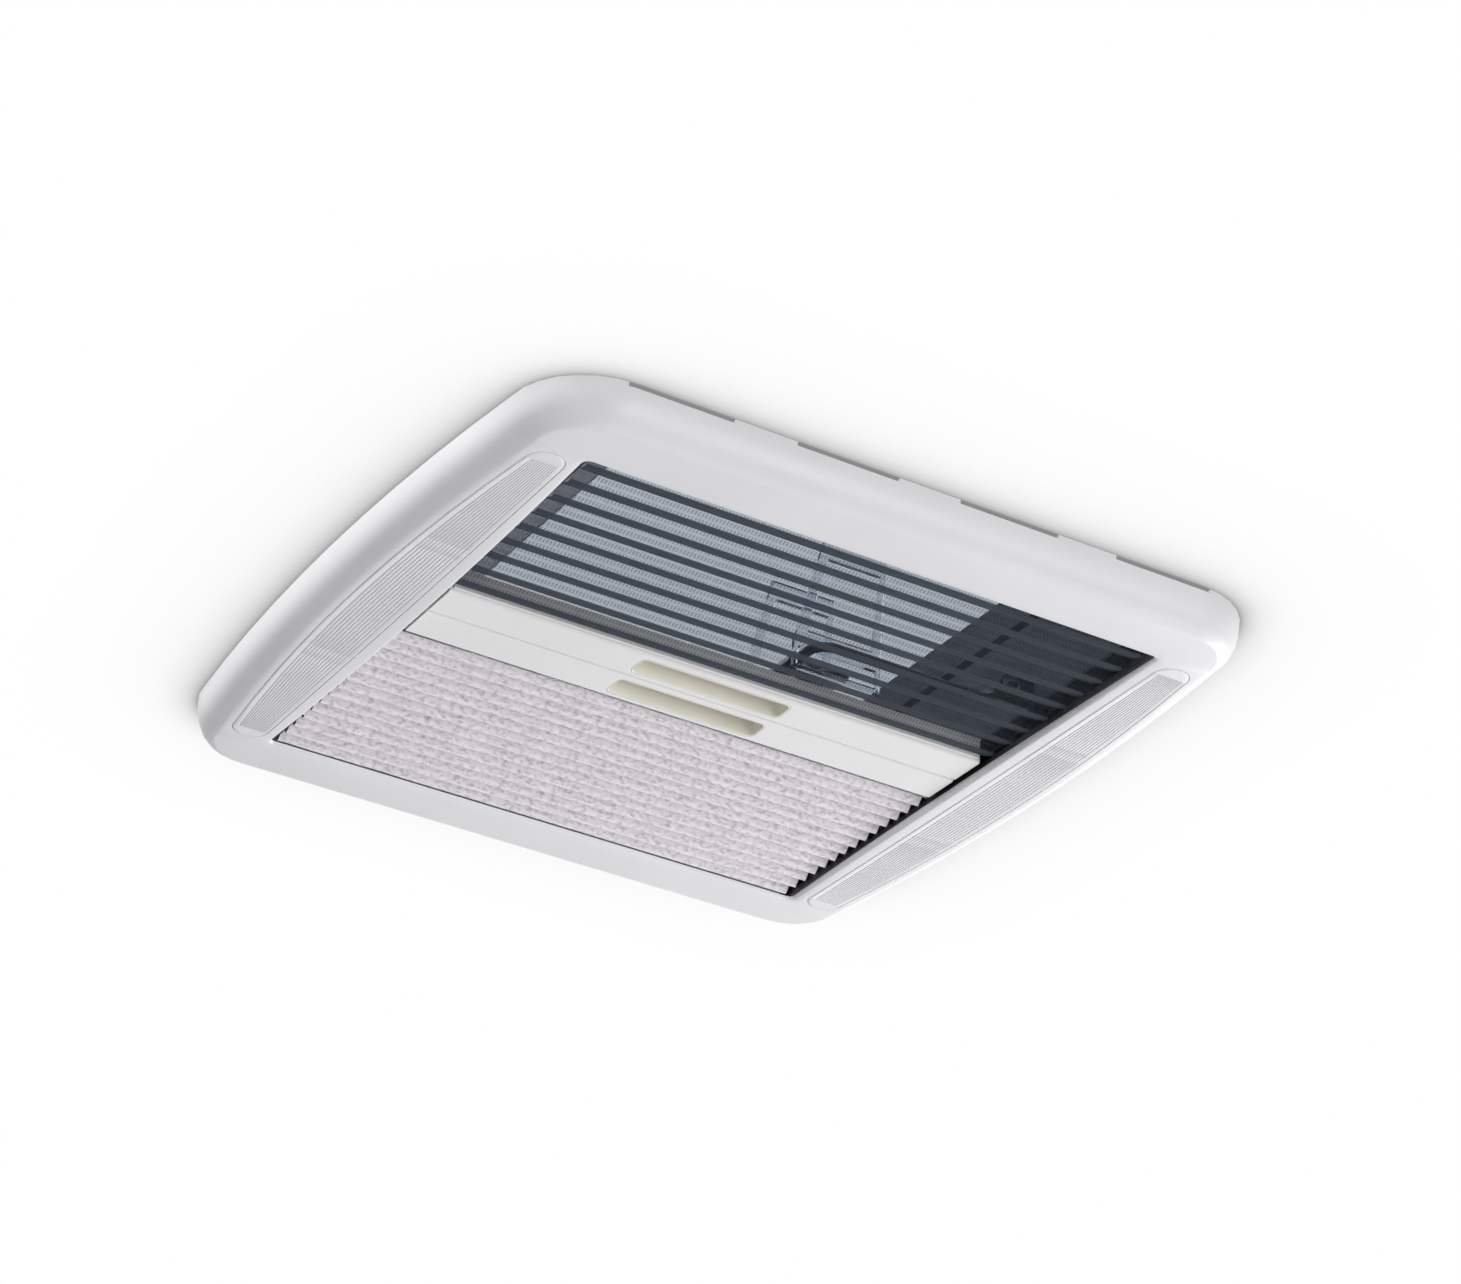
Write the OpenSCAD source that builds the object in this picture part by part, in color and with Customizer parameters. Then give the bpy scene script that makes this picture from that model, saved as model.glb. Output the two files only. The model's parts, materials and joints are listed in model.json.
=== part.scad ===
// Caravan rooflight: room-side frame with two pleated blinds, roof frame and lifting double dome.
// Origin: centre of the roof cut-out on the ceiling plane. +Z points to the sky, +Y along the blinds' travel.

/* [Roof] */
// Side of the square hole cut in the roof
cutout = 400; // [396:1:404]
// Thickness of the roof that the light is clamped through
roof_t = 34; // [30:1:40]

/* [Inner frame] */
// Clear width of the frame, between the blind rails
open_x = 360; // [350:1:362]
// Clear length of the frame, along the blinds' travel
open_y = 400; // [390:1:402]
// Depth of the frame below the ceiling
frame_h = 24; // [23:0.5:28]
// Wall of the moulded frame
frame_wall = 2.4; // [2:0.1:2.6]
// Width of the flat face at the middle of a ribbed side
face_x = 46.8; // [46:0.2:50]
// Width of the flat face on a plain side
face_y = 33.6; // [32:0.2:38]
// How far the rim stands outside the face on a ribbed side
skirt_x = 11.5; // [9:0.5:14]
// How far the rim stands outside the face on a plain side
skirt_y = 14.2; // [10:0.2:16]
// How far the rim of a ribbed side bows outwards
rim_bow = 10.4; // [8:0.2:12]
// How far the face edge of a ribbed side bows outwards
face_bow = 12.8; // [10:0.2:13]
// Corner radius of the rim
rim_r = 48; // [40:1:50]
// Corner radius of the face edge
face_r = 28; // [24:1:32]
// How far a ribbed side swells towards the room at the middle of the opening
face_crown = 2.4; // [1:0.1:3]
// Height of the step that outlines the face
face_step = 0.8; // [0.4:0.1:1]
// Depth of the vent notches in the rim
notch_h = 2.3; // [1:0.1:3]
// Centre of the inner vent notches, from the middle of a plain side
notch_in = 51; // [50:1:54]
// Centre of the outer vent notches
notch_out = 152.5; // [150:0.5:155]
// Width of a vent notch
notch_w = 63.5; // [58:0.5:66]

/* [Cover strips] */
// Distance of a strip from the opening
strip_gap = 9; // [8.6:0.1:10]
// Width of a strip at its middle
strip_w = 33; // [30:0.2:33]
// Length of a strip
strip_l = 396; // [380:1:400]
// Radius of a strip's ends
strip_r = 11; // [10:0.2:12]
// Thickness of a strip
strip_t = 2.2; // [2:0.1:2.4]
// Number of ribs on a strip
rib_n = 12; // [8:1:13]
// Height of a rib
rib_h = 0.6; // [0.3:0.1:0.8]

/* [Blinds] */
// Depth of a guide rail across the frame
rail_w = 8.5; // [8:0.1:8.7]
// Wall of a guide rail
rail_wall = 1.5; // [1.2:0.1:1.6]
// Gap left between the top of the rails and the ceiling
rail_drop = 2; // [1.5:0.5:3]
// Depth of a pull bar along its travel
bar_w = 28.2; // [27:0.1:29]
// Wall of a pull bar
bar_wall = 2; // [1.6:0.1:2.2]
// How far the bars stand back from the face
bar_recess = 2.5; // [2.4:0.1:4]
// Joint between the two bars where they meet
bar_joint = 0.8; // [0.6:0.1:2]
// Gap between a bar and the edge of the opening
bar_gap = 4; // [3.5:0.1:5]
// Length of a finger pull
pull_l = 97; // [90:1:110]
// Width of a finger pull
pull_w = 12.5; // [12:0.5:15]
// Depth of a finger pull
pull_d = 11; // [8:0.5:12]
// Number of folds in the insect screen
screen_folds = 9; // [7:1:11]
// Depth of a fold in the insect screen
screen_fold_h = 3.1; // [2:0.1:5]
// Number of folds in the blackout blind
blackout_folds = 13; // [11:1:15]
// Depth of a fold in the blackout blind
blackout_fold_h = 5; // [3:0.1:6]
// Thickness of the pleated fabrics
fabric_t = 0.6; // [0.4:0.1:0.8]
// Diameter of the tension cords
tension_d = 1.2; // [1:0.1:1.4]

/* [Roof frame] */
// Half width of the flange on the roof
flange_x = 246; // [244:1:252]
// Half length of the flange on the roof
flange_y = 244; // [242:1:250]
// Thickness of the flange
flange_t = 3; // [2.5:0.5:4]
// Height of the step under the flange that centres it in the cut-out
flange_step = 0.5; // [0.3:0.1:0.8]
// Gap between the cut-out and the inside of the duct, on a ribbed side
duct_gap_x = 16; // [15:0.5:17]
// Gap between the cut-out and the inside of the duct, on a plain side
duct_gap_y = 5.5; // [5:0.5:7]
// Wall of the duct
duct_wall = 2.5; // [2:0.1:2.6]
// Height of the duct above the roof
upstand_h = 22; // [20:1:24]
// Height of the rubber seal
seal_h = 6; // [5:0.5:7]

/* [Dome] */
// Height of the inner pane above the seal
inner_h = 26; // [24:1:27]
// Space between the two panes at the middle
pane_gap = 11; // [10:1:14]
// Thickness of the panes
pane_t = 2.5; // [2:0.1:3]
// How far the outer dome reaches past the duct
dome_over = 44; // [42:1:45]
// Depth of the dome's skirt below its brim
skirt_drop = 12; // [10:1:12]
// How far the hinge axis stands outside the dome
hinge_out = 6; // [6:0.5:7]
// Diameter of the hinge pins
hinge_pin_d = 4; // [3.6:0.2:4.4]
// Distance of each hinge from the middle
hinge_y = 120; // [100:1:140]

/* [Bail] */
// Diameter of the bail rod
bail_d = 6; // [5.6:0.2:6.4]
// Distance from the bail's pivot to its crossbar
bail_l = 118; // [114:1:118]
// Distance between the bail's legs
bail_w = 98; // [94:1:110]
// Bend radius of the bail
bail_r = 12; // [10:1:14]
// Height of the bail above the ceiling plane
bail_z = 10; // [10:0.5:11]
// Distance of the bail's pivot from the duct wall
bail_pivot_in = 16; // [15:0.5:17]

/* [Hidden] */

// Resolution of round features, and of the moulded outlines
round_fn = 64;
side_steps = 10;
corner_steps = 7;
end_steps = 4;
skirt_steps = 5;

// Running clearance of a pin in its bore, and of parts that slide past each other
pin_clear = 0.05;
slide_clear = 0.6;
// Gap between moulded parts that fit into each other
fit_clear = 0.4;
// Gap kept between soft parts and their neighbours
soft_clear = 0.3;
// Overrun of a cutting shape
cut = 1;

// Half sizes of the opening, the face edge and the rim
open_hx = open_x / 2;
open_hy = open_y / 2;
face_hx = open_hx + face_x;
face_hy = open_hy + face_y;
rim_hx = face_hx + skirt_x;
rim_hy = face_hy + skirt_y;
// Levels
face_z = -frame_h;
plate_z = face_z + frame_wall;
rail_top = -rail_drop;
roof_z = roof_t;
flange_z = roof_z + flange_t;
step_z = roof_z - flange_step;
upstand_z = flange_z + upstand_h;
seal_z = upstand_z + seal_h;
brim_z = seal_z + soft_clear;
frame_t = 3;
inner_z = seal_z + inner_h;
dome_z = inner_z + pane_t + pane_gap;
bar_z = face_z + bar_recess;

// Opening detail, and the ring of the face just inside the strips
face_in_x = open_hx + strip_gap - 1;
face_in_y = open_hy + strip_gap - 1;
face_in_z = face_z - face_step / 2;
face_in_crown = face_crown * 0.6;
open_r = 4;
open_bow = -2.3;
edge_r = 2;

// Cover strips and the screws under them
strip_in = open_hx + strip_gap;
strip_length = strip_l / 2 - strip_r;
strip_proud = 0.3;
strip_edge = 0.6;
strip_border = 3;
strip_under = face_z - face_step + strip_t;
strip_foot = 0.2;
groove_half = 0.26;
tray_t = 1.4;
tray_ledge = 1.4;
screw_x = cutout / 2 - 6;
screw_ys = [-150, 0, 150];
clip_ys = [-75, 75];
clip_l = 12;
turret_d = 10;
turret_z = -6;
shoulder_z = -14;
head_bore_d = 7.6;
screw_head_d = 7;
screw_head_h = 2.4;
screw_slot_l = 4.5;
screw_slot_w = 1;
screw_d = 4;
screw_bore_d = 4.2;
screw_l = 30;

// Guide rails, headers and tension cords
rail_z = plate_z + tray_t + 0.2;
rail_foot = 5;
header_y = open_hy + 1;
header_w = 13;
header_t = 2.5;
header_top = -4;
anchor_w = 6;
anchor_y = header_y - 7;
cord_x = open_hx + 3.6;
cord_z = (rail_z + rail_top) / 2;

// Pull bars; bar_y is the meeting edge and bar_edge the edge that carries the fabric
bar_hx = open_hx - bar_gap;
bar_y = bar_joint / 2;
bar_edge = bar_y + bar_w;
bar_edge_r = 1;
bar_top = -5;
pull_y = bar_y + bar_w / 2;
pull_wall = 1.2;
pull_r = 3;
clamp_t = 1.5;
clamp_h = 11;
clamp_z = bar_z + 2.5;
clamp_in = 2;
cap_t = 1.4;
glide_in = 1.6;
tongue_l = 17;

// Fabrics
fabric_hx = open_hx - 2.5;
fabric_end = header_y + header_w - header_t - soft_clear;
screen_z = bar_z + 1;
blackout_z = bar_z + 0.5;

// Roof frame
duct_x = cutout / 2 - duct_gap_x;
duct_y = cutout / 2 - duct_gap_y;
wall_x = duct_x + duct_wall;
wall_y = duct_y + duct_wall;
flange_r = 30;
duct_r = 12;
wall_r = duct_r + duct_wall;
duct_z = 1;
lip_w = 3;
lip_h = 3;
step_half = cutout / 2 - 0.5;
step_r = 14;
tower_d = 9;
web_t = 2.5;
web_l = 34;
web_low = 1;
web_ys = [-75, 75];
web_xs = [-140, -70, 0, 70, 140];
seal_w = 5;
guard_l = 340;
guard_w = 34;
guard_h = 14;
guard_t = 2.5;
guard_z = 3;

// Dome
dome_hx = duct_x + dome_over;
dome_hy = duct_y + dome_over;
dome_r = 45;
dome_steps = 7;
throat_hx = duct_x + 2;
throat_hy = duct_y + 2;
throat_r = duct_r + 2;

// Hinges
hinge_x = dome_hx + hinge_out;
hinge_z = flange_z + 8;
knuckle_r = 5;
ear_in = 10;
ear_out = 14;
bracket_t = 2;
bracket_in = 10;
pin_head_d = 6.4;
pin_head_h = 1.5;
leaf_r = 4.6;
leaf_l = 2 * ear_in - slide_clear;
leaf_t = 3;
arm_z = hinge_z + leaf_r;
arm_x = dome_hx - pane_t - 2 * leaf_t - 5;
pad_x = arm_x - 16;
dome_screw_x = pad_x + 6;
dome_screw_y = 5;

// Bail, its bearings and its guides
bail_x1 = duct_x - bail_pivot_in;
bail_x0 = bail_x1 - bail_l;
pivot_l = 15;
bearing_y = bail_w / 2 + bail_r + 7;
bearing_w = 8;
bearing_r = 7;
clip_t = 1;
grip_w = 48;
grip_l = 36;
grip_t = 3;
grip_wall = 2;
guide_y = 30;
guide_t = 3;
slot_wall = 3;
slot_run = 47;
slot_below = 3.3;
slot_above = 2.2;
guide_in = 14;
slot_x0 = bail_x0 - bail_d / 2 - fit_clear;
slot_x1 = bail_x0 + slot_run + bail_d / 2;
slot_z0 = bail_z - bail_d / 2 - slot_below;
slot_z1 = bail_z + bail_d / 2 + slot_above;
guide_x0 = slot_x0 + guide_in;
guide_x1 = slot_x1 + fit_clear + slot_wall;

// ---------- outlines ----------

// A rounded rectangle whose X sides bow outwards by bow at their middle, always the same number of points
function outline(hx, hy, r, bow) =
    let (cx = hx - bow - r, cy = hy - r)
    concat(
        [for (i = [0 : side_steps]) let (y = -cy + 2 * cy * i / side_steps) [hx - bow * pow(y / cy, 2), y]],
        [for (i = [1 : corner_steps]) let (a = 90 * i / corner_steps) [cx + r * cos(a), cy + r * sin(a)]],
        [for (i = [1 : end_steps]) [cx - 2 * cx * i / end_steps, hy]],
        [for (i = [1 : corner_steps])
            let (a = 90 + 90 * i / corner_steps) [-cx + r * cos(a), cy + r * sin(a)]],
        [for (i = [1 : side_steps]) let (y = cy - 2 * cy * i / side_steps) [-hx + bow * pow(y / cy, 2), y]],
        [for (i = [1 : corner_steps])
            let (a = 180 + 90 * i / corner_steps) [-cx + r * cos(a), -cy + r * sin(a)]],
        [for (i = [1 : end_steps]) [-cx + 2 * cx * i / end_steps, -hy]],
        [for (i = [1 : corner_steps - 1])
            let (a = 270 + 90 * i / corner_steps) [cx + r * cos(a), -cy + r * sin(a)]]
    );

// A ring is [half x, half y, corner radius, bow, level, crown]; the crown sinks the middle of the X sides
function ring_points(g) = [
    for (p = outline(g[0], g[1], g[2], g[3])) [p[0], p[1], g[4] - g[5] * (1 - pow(p[1] / g[1], 2))]
];

// Skin over a list of rings; closed joins the last ring to the first, otherwise both ends get a centre point
module loft(rings, closed = true) {
    n = len(outline(1, 1, 0.1, 0));
    count = len(rings);
    spans = closed ? count : count - 1;
    points = [for (g = rings) each ring_points(g)];
    ends = closed ? [] : [for (g = [rings[0], rings[count - 1]]) [0, 0, g[4] - g[6]]];
    sides = [for (k = [0 : spans - 1]) for (j = [0 : n - 1])
        let (a = k * n + j, b = k * n + (j + 1) % n,
            c = ((k + 1) % count) * n + j, d = ((k + 1) % count) * n + (j + 1) % n)
        each [[a, b, c], [b, d, c]]];
    first = closed ? [] : [for (j = [0 : n - 1]) [j, count * n, (j + 1) % n]];
    last = closed ? [] : [for (j = [0 : n - 1])
        [(count - 1) * n + (j + 1) % n, count * n + 1, (count - 1) * n + j]];
    polyhedron(points = concat(points, ends), faces = concat(sides, first, last), convexity = 6);
}

// Skin over a row of closed sections, each a list of points, with flat ends
module skin(sections) {
    n = len(sections[0]);
    count = len(sections);
    polyhedron(points = [for (section = sections) each section], faces = concat(
        [[for (j = [n - 1 : -1 : 0]) j], [for (j = [0 : n - 1]) (count - 1) * n + j]],
        [for (k = [0 : count - 2]) for (j = [0 : n - 1]) let (a = k * n + j, b = k * n + (j + 1) % n)
            each [[a, b, a + n], [b, b + n, a + n]]]
    ), convexity = 6);
}

// A plain rounded rectangle with round corners of radius r
module rounded(hx, hy, r) {
    square([2 * hx - 2 * r, 2 * hy], center = true);
    square([2 * hx, 2 * hy - 2 * r], center = true);
    for (sx = [-1, 1], sy = [-1, 1]) translate([sx * (hx - r), sy * (hy - r)]) circle(r = r, $fn = round_fn);
}

// A flat ring between two rounded rectangles, from level z0 to level z1
module flat_ring(hx, hy, r, inner_hx, inner_hy, inner_r, z0, z1) {
    translate([0, 0, z0]) linear_extrude(z1 - z0) difference() {
        rounded(hx, hy, r);
        rounded(inner_hx, inner_hy, inner_r);
    }
}

// Extrudes a profile drawn in (y, z) along X, centred
module along_x(length) {
    rotate([90, 0, 90]) translate([0, 0, -length / 2]) linear_extrude(length) children();
}

// Extrudes a profile drawn in (x, z) along Y, centred
module along_y(length) {
    rotate([90, 0, 0]) translate([0, 0, -length / 2]) linear_extrude(length) children();
}

// A cylinder along Y, centred on [x, y, z]
module pin_y(x, y, z, d, length) {
    translate([x, y, z]) rotate([90, 0, 0]) cylinder(d = d, h = length, center = true, $fn = round_fn);
}

// ---------- inner frame ----------

// Half sizes and shape of the skirt at angle a: 0 is the rim, 90 the edge of the face
function skirt_ring(a, inset, depth) = [
    face_hx - inset + skirt_x * cos(a), face_hy - inset + skirt_y * cos(a),
    face_r - inset + (rim_r - face_r) * cos(a), face_bow + (rim_bow - face_bow) * cos(a), -depth * sin(a), 0];

// Edges of a strip at y along it: its inner x and its outer x
function strip_span(y) =
    let (over = max(0, abs(y) - strip_length), half = sqrt(max(0, strip_r * strip_r - over * over)))
    over > 0 ? [strip_in + strip_r - half, strip_in + strip_r + half]
        : [strip_in, strip_in + strip_w - (strip_w - 2 * strip_r) * pow(y / strip_length, 2)];

// Plan of a strip, grown all round by grow
module strip_outline(grow) {
    polygon(concat(
        [for (i = [0 : side_steps])
            let (y = strip_length * (2 * i / side_steps - 1)) [strip_span(y)[1] + grow, y]],
        [for (a = [15 : 15 : 180])
            [strip_in + strip_r + (strip_r + grow) * cos(a), strip_length + (strip_r + grow) * sin(a)]],
        [for (a = [180 : 15 : 345])
            [strip_in + strip_r + (strip_r + grow) * cos(a), -strip_length + (strip_r + grow) * sin(a)]]
    ));
}

module inner_frame() {
    outer = [for (i = [0 : skirt_steps]) skirt_ring(90 * i / skirt_steps * 0.95, 0, frame_h - face_step / 2)];
    inner = [for (i = [skirt_steps - 1 : -1 : 0])
        skirt_ring(90 * i / skirt_steps, frame_wall, frame_h - frame_wall)];
    face = [
        [face_hx - face_step, face_hy - face_step, face_r, face_bow, face_z - face_step, 0],
        [face_in_x, face_in_y, open_r + strip_gap, 0, face_in_z, face_in_crown],
        [open_hx + edge_r, open_hy + edge_r, open_r + edge_r, open_bow, face_z, face_crown],
        [open_hx + edge_r / 3, open_hy + edge_r / 3, open_r + edge_r / 3, open_bow,
            face_z + edge_r / 3, face_crown],
        [open_hx, open_hy, open_r, open_bow, face_z + edge_r, face_crown / 2],
        [open_hx, open_hy, open_r, open_bow, plate_z, 0],
        [face_hx - frame_wall, face_hy - frame_wall, face_r - frame_wall, face_bow, plate_z, 0]];
    color("white") difference() {
        loft(concat(outer, face, inner));
        for (side = [-1, 1]) {
            mirror([side > 0 ? 0 : 1, 0, 0]) translate([0, 0, face_z - 2 * face_crown])
                linear_extrude(frame_wall + 2 * face_crown + cut / 2) strip_outline(fit_clear);
            for (x = [-notch_out, -notch_in, notch_in, notch_out])
                translate([x - notch_w / 2, side * rim_hy - skirt_y / 2, -notch_h])
                    cube([notch_w, skirt_y, notch_h + cut]);
        }
    }
}

// Level of the face at x and y on a ribbed side
function face_level(x, y) =
    let (outer_x = face_hx - face_step - face_bow * pow(y / (face_hy - face_step - face_r), 2),
        inner = face_in_z - face_in_crown * (1 - pow(y / face_in_y, 2)))
    inner + (face_z - face_step - inner) * (x - face_in_x) / (outer_x - face_in_x);

// Outline of a strip's section at y: over its ribs from the inner edge to the outer, and back underneath
function strip_section(y, under) =
    let (span = strip_span(y), w = span[1] - span[0],
        border = min(strip_border, w / 4), pitch = (w - 2 * border) / rib_n,
        depth = abs(y) > strip_length ? 0 : rib_h, g = groove_half * pitch,
        over = concat(
            [[0, strip_edge], [min(strip_edge, w / 8), 0]],
            [for (i = [0 : rib_n - 1]) let (c = border + (i + 0.5) * pitch)
                each [[c - g, 0], [c - 0.6 * g, depth], [c + 0.6 * g, depth], [c + g, 0]]],
            [[w - min(strip_edge, w / 8), 0], [w, strip_edge]]))
    concat(
        [for (p = over) [span[0] + p[0], y, face_level(span[0] + p[0], y) - strip_proud + p[1]]],
        [[span[1], y, under], [span[0], y, under]]);

// A strip that clips over the screws of the right-hand side; its feet stand on the screw tray
module cover_strip() {
    ends = [for (a = [84 : -16 : 4]) strip_length + strip_r * sin(a)];
    feet = [for (y = clip_ys) each [[y - clip_l / 2 - strip_foot, strip_under], [y - clip_l / 2, plate_z],
        [y + clip_l / 2, plate_z], [y + clip_l / 2 + strip_foot, strip_under]]];
    plain = [for (i = [-side_steps / 2 : side_steps / 2]) let (y = 2 * strip_length * i / side_steps)
        if (min([for (c = clip_ys) abs(y - c)]) > clip_l) [y, strip_under]];
    first = [for (p = concat(plain, feet)) if (p[0] < clip_ys[0] - clip_l) p];
    middle = [for (p = plain) if (abs(p[0]) < clip_ys[1] - clip_l) p];
    last = [for (p = plain) if (p[0] > clip_ys[1] + clip_l) p];
    skin([for (p = concat(
        [for (y = ends) [-y, strip_under]],
        first, [for (i = [0 : 3]) feet[i]], middle, [for (i = [4 : 7]) feet[i]], last,
        [for (i = [len(ends) - 1 : -1 : 0]) [ends[i], strip_under]]
    )) strip_section(p[0], p[1])]);
}

module cover_strip_left() {
    color("whitesmoke") mirror([1, 0, 0]) cover_strip();
}

module cover_strip_right() {
    color("whitesmoke") cover_strip();
}

// The screw seats under the right-hand strip
module screw_tray() {
    color("gainsboro") difference() {
        union() {
            translate([0, 0, plate_z]) linear_extrude(tray_t) strip_outline(tray_ledge);
            for (y = screw_ys) translate([screw_x, y, plate_z])
                cylinder(d = turret_d, h = turret_z - plate_z, $fn = round_fn);
        }
        for (y = screw_ys) translate([screw_x, y, 0]) {
            translate([0, 0, plate_z - cut])
                cylinder(d = head_bore_d, h = shoulder_z - plate_z + cut, $fn = round_fn);
            translate([0, 0, plate_z])
                cylinder(d = screw_bore_d, h = turret_z - plate_z + cut, $fn = round_fn);
        }
    }
}

module screw_tray_left() {
    mirror([1, 0, 0]) screw_tray();
}

module screw_tray_right() {
    screw_tray();
}

module fixing_screws() {
    color("silver") for (side = [-1, 1], y = screw_ys) translate([side * screw_x, y, shoulder_z]) {
        translate([0, 0, -screw_head_h]) difference() {
            cylinder(d = screw_head_d, h = screw_head_h, $fn = round_fn);
            for (a = [0, 90]) rotate([0, 0, a])
                cube([screw_slot_l, screw_slot_w, screw_head_h], center = true);
        }
        cylinder(d = screw_d, h = screw_l, $fn = round_fn);
    }
}

// ---------- blinds ----------

// Channel in which the bars and the tension cords run, right-hand side
module guide_rail() {
    color("#141416") along_y(2 * header_y) difference() {
        union() {
            translate([open_hx, rail_z]) square([rail_w, rail_top - rail_z]);
            translate([open_hx, plate_z]) square([rail_foot, rail_z - plate_z]);
        }
        translate([open_hx - cut, rail_z + rail_wall])
            square([rail_w - rail_wall + cut, rail_top - rail_z - 2 * rail_wall]);
    }
}

module guide_rail_left() {
    mirror([1, 0, 0]) guide_rail();
}

module guide_rail_right() {
    guide_rail();
}

// Angle that holds the fixed end of a fabric, on the +Y side
module header() {
    color("#222226") along_x(2 * (open_hx + rail_w)) {
        translate([header_y + header_w - header_t, plate_z]) square([header_t, header_top - plate_z]);
        translate([header_y, header_top - header_t]) square([header_w, header_t]);
    }
}

module screen_header() {
    mirror([0, 1, 0]) header();
}

module blackout_header() {
    header();
}

// Folded sheet from y0 to y1, with its lowest folds at z0
module pleats(y0, y1, z0, folds, fold_h) {
    steps = 2 * folds;
    edge = [for (k = [0 : steps]) [y0 + (y1 - y0) * k / steps, z0 + (k % 2) * fold_h]];
    along_x(2 * fabric_hx) polygon(concat(
        edge,
        [for (k = [steps : -1 : 0]) [edge[k][0], edge[k][1] + fabric_t]]
    ));
}

module flyscreen() {
    color("#4a525c") mirror([0, 1, 0])
        pleats(bar_edge + clamp_t + soft_clear, fabric_end, screen_z, screen_folds, screen_fold_h);
}

module blackout_fabric() {
    color("#d0c9cf")
        pleats(bar_edge + clamp_t + soft_clear, fabric_end, blackout_z, blackout_folds, blackout_fold_h);
}

module tension_cords() {
    color("#303034") for (side = [-1, 1]) pin_y(side * cord_x, 0, cord_z, tension_d, 2 * anchor_y);
}

// Blocks at the ends of the rails that hold the tension cords
module cord_anchors() {
    color("#1c1c1f") for (side = [-1, 1], end = [-1, 1])
        translate([side * (open_hx + rail_w - rail_wall) - (side > 0 ? anchor_w : 0),
            end > 0 ? anchor_y : -header_y, rail_z + rail_wall])
            cube([anchor_w, header_y - anchor_y, rail_top - rail_z - 2 * rail_wall]);
}

// Hollow bar, open to the sky, with a hole for the finger pull; on the +Y side
module pull_bar() {
    difference() {
        along_x(2 * bar_hx) difference() {
            polygon([[bar_y, bar_z + bar_edge_r], [bar_y + bar_edge_r, bar_z], [bar_edge - bar_edge_r, bar_z],
                [bar_edge, bar_z + bar_edge_r], [bar_edge, bar_top], [bar_y, bar_top]]);
            translate([bar_y + bar_wall, bar_z + bar_wall]) square([bar_w - 2 * bar_wall, bar_top - bar_z]);
        }
        translate([0, pull_y, bar_z - cut]) linear_extrude(bar_wall + 2 * cut)
            rounded(pull_l / 2 + pull_wall, pull_w / 2 + pull_wall, pull_r + pull_wall);
    }
}

// Cup that the fingers reach into
module finger_pull() {
    cup_wall = pull_wall - fit_clear / 4;
    difference() {
        translate([0, pull_y, bar_z]) linear_extrude(pull_d)
            rounded(pull_l / 2 + cup_wall, pull_w / 2 + cup_wall, pull_r + pull_wall);
        translate([0, pull_y, bar_z - cut]) linear_extrude(pull_d - pull_wall + cut)
            rounded(pull_l / 2, pull_w / 2, pull_r);
    }
}

// Strip that holds the moving end of a fabric against its bar
module clamp_strip() {
    translate([-bar_hx + clamp_in, bar_edge, clamp_z]) cube([2 * (bar_hx - clamp_in), clamp_t, clamp_h]);
}

// End caps of a bar, each with a tongue that slides in the rail
module glides() {
    for (side = [-1, 1]) mirror([side > 0 ? 0 : 1, 0, 0]) difference() {
        union() {
            translate([bar_hx, bar_y + glide_in, bar_z + glide_in])
                cube([cap_t, bar_w - 2 * glide_in, bar_top - bar_z - glide_in]);
            translate([bar_hx, pull_y - tongue_l / 2, rail_z + rail_wall + slide_clear])
                cube([open_hx + rail_w - rail_wall - slide_clear - bar_hx, tongue_l,
                    rail_top - rail_z - 2 * rail_wall - 2 * slide_clear]);
        }
        pin_y(cord_x, pull_y, cord_z, tension_d + slide_clear, tongue_l + 2 * cut);
    }
}

module screen_bar() {
    color("#f0f0f0") mirror([0, 1, 0]) pull_bar();
}

module screen_pull() {
    color("ivory") mirror([0, 1, 0]) finger_pull();
}

module screen_clamp() {
    color("#e4e4e6") mirror([0, 1, 0]) clamp_strip();
}

module screen_glides() {
    color("#202022") mirror([0, 1, 0]) glides();
}

module blackout_bar() {
    color("#f0f0f0") pull_bar();
}

module blackout_pull() {
    color("ivory") finger_pull();
}

module blackout_clamp() {
    color("#e4e4e6") clamp_strip();
}

module blackout_glides() {
    color("#202022") glides();
}

// ---------- roof frame ----------

// Plate on the roof skin, with a shallow step that sits in the cut-out and carries the screw towers
module roof_flange() {
    color("#3a3d42") {
        flat_ring(flange_x, flange_y, flange_r, wall_x, wall_y, wall_r, roof_z, flange_z);
        flat_ring(step_half, step_half, step_r, wall_x, wall_y, wall_r, step_z, roof_z);
    }
}

// Ring on the inside of the duct, width wide
module duct_ring(width, z0, z1) {
    flat_ring(duct_x + width, duct_y + width, duct_r + width, duct_x, duct_y, duct_r, z0, z1);
}

module duct() {
    color("#3a3d42") {
        duct_ring(duct_wall, duct_z, upstand_z);
        duct_ring(duct_wall + lip_w, upstand_z - lip_h, upstand_z);
    }
}

// Posts beside the duct that take the fixing screws
module screw_towers() {
    color("#3a3d42") for (side = [0, 1], y = screw_ys) mirror([side, 0, 0]) difference() {
        union() {
            translate([screw_x, y, turret_z]) cylinder(d = tower_d, h = step_z - turret_z, $fn = round_fn);
            translate([wall_x, y - web_t / 2, duct_z]) cube([screw_x - wall_x, web_t, step_z - duct_z]);
        }
        translate([screw_x, y, turret_z - cut])
            cylinder(d = screw_bore_d, h = shoulder_z + screw_l + 2 - turret_z + cut, $fn = round_fn);
    }
}

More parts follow.
